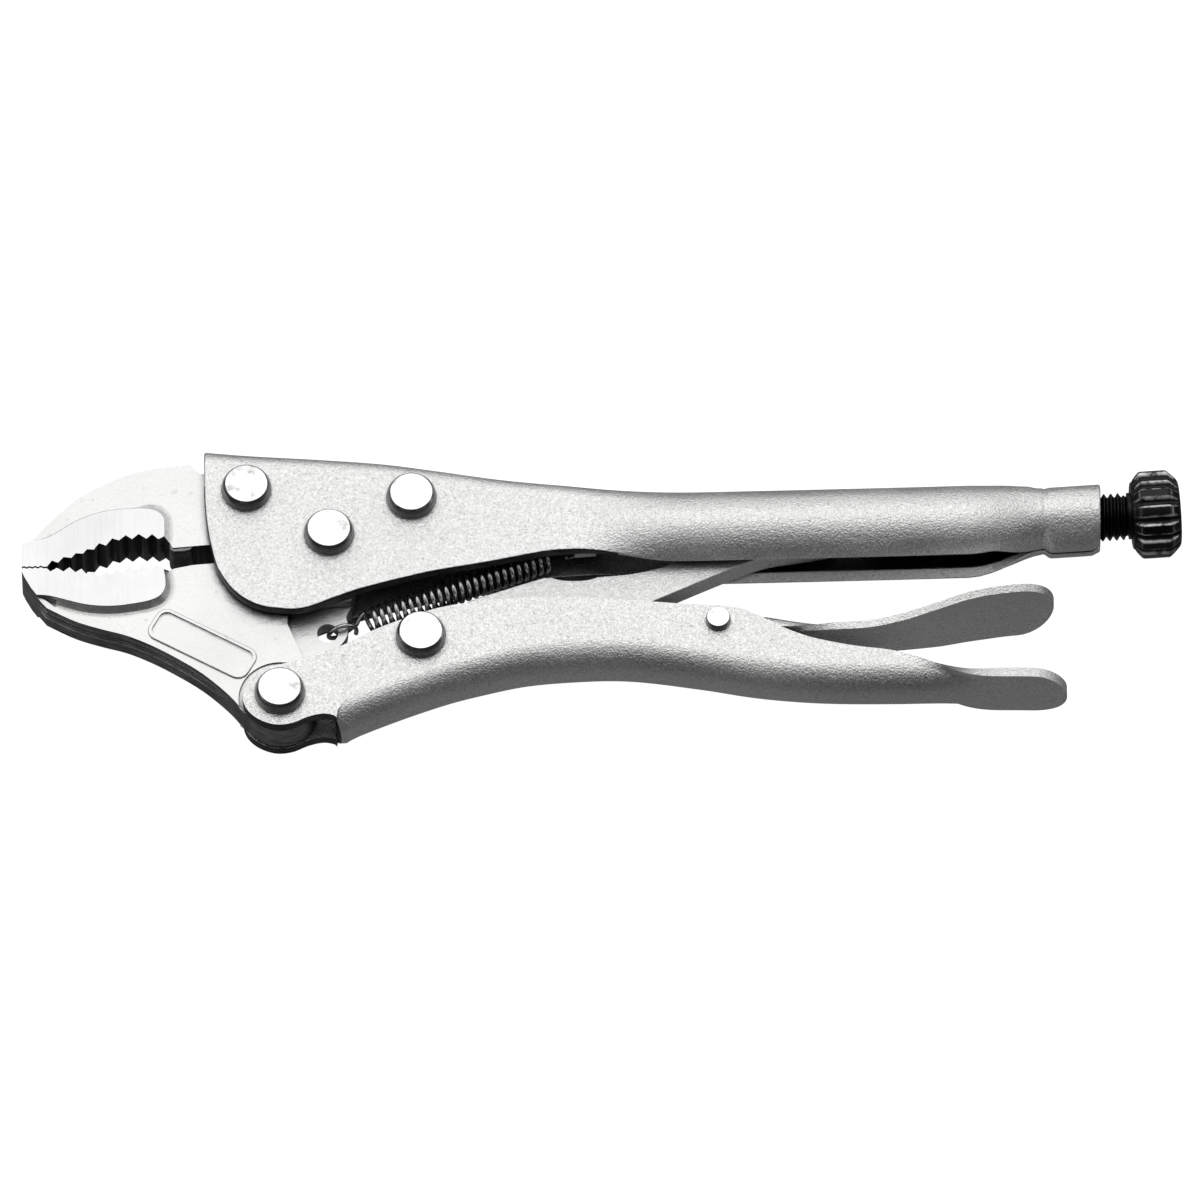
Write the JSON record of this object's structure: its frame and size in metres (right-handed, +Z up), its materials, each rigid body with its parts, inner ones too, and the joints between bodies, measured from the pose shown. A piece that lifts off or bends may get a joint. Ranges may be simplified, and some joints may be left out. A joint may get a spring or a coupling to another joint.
{
  "type": "locking pliers",
  "caption": "Locking pliers with curved toothed jaws, wire cutter, folded steel handles, toggle link, release lever, tension spring and an adjusting screw with a fluted knob.",
  "frame": {"origin": "on the jaw pivot's axis, on the lower flat of its rivet, which the tool rests on", "axes": "+X along the tool from the jaws to the knob, +Y from the lower handle to the upper handle, +Z up through the thickness"},
  "size_m": [0.2503, 0.069, 0.02],
  "materials": {
    "satin_nickel": "satin nickel plate on sandblasted sheet steel",
    "forged_nickel": "nickel plated forging, ground on the pads",
    "bright_steel": "bright plated rivet",
    "spring_steel": "bright plated wire",
    "black_oxide": "black oxide, slightly oily"
  },
  "bodies": {
    "upper_handle": {"upper_handle": "satin_nickel", "upper_jaw": "forged_nickel", "upper_jaw_front_rivet": "bright_steel", "upper_jaw_rear_rivet": "bright_steel", "jaw_pivot_rivet": "bright_steel", "tension_spring": "spring_steel"},
    "lower_jaw": {"lower_jaw": "forged_nickel", "handle_pivot_rivet": "bright_steel"},
    "lower_handle": {"lower_handle": "satin_nickel", "link_pivot_rivet": "bright_steel", "release_lever_pin": "bright_steel"},
    "toggle_link": {"toggle_link": "satin_nickel"},
    "release_lever": {"release_lever": "satin_nickel"},
    "adjusting_screw": {"adjusting_screw": "black_oxide"},
    "adjusting_knob": {"adjusting_knob": "black_oxide"}
  },
  "joints": [
    {"name": "jaw_hinge", "type": "hinge", "parent": "upper_handle", "child": "lower_jaw", "pos_m": [0, 0, 0.01], "axis": [0, 0, 1], "range_deg": [0, 20], "deforming": ["tension_spring"]},
    {"name": "handle_hinge", "type": "hinge", "parent": "lower_jaw", "child": "lower_handle", "pos_m": [-0.0103, -0.0389, 0.01], "axis": [0, 0, 1], "range_deg": [-70.1, 0]},
    {"name": "link_hinge", "type": "hinge", "parent": "lower_handle", "child": "toggle_link", "pos_m": [0.0199, -0.025, 0.01], "axis": [0, 0, 1], "range_deg": [0, 73.1]},
    {"name": "release_hinge", "type": "hinge", "parent": "lower_handle", "child": "release_lever", "pos_m": [0.0838, -0.021, 0.01], "axis": [0, 0, 1], "range_deg": [-5.5, 0]},
    {"name": "screw_travel", "type": "slide", "parent": "upper_handle", "child": "adjusting_screw", "axis": [0.9973, 0.0732, 0], "range_m": [0, 0.012]},
    {"name": "knob_turn", "type": "hinge", "parent": "adjusting_screw", "child": "adjusting_knob", "pos_m": [0.16, 0.0077, 0.01], "axis": [0.9973, 0.0732, 0], "range_deg": [0, 2881]}
  ],
  "couplings": [
    {"joint": "handle_hinge", "follows": "jaw_hinge", "ratio": -3.5},
    {"joint": "link_hinge", "follows": "jaw_hinge", "ratio": 3.65},
    {"joint": "knob_turn", "follows": "screw_travel", "rad_per_m": 4188.8}
  ]
}
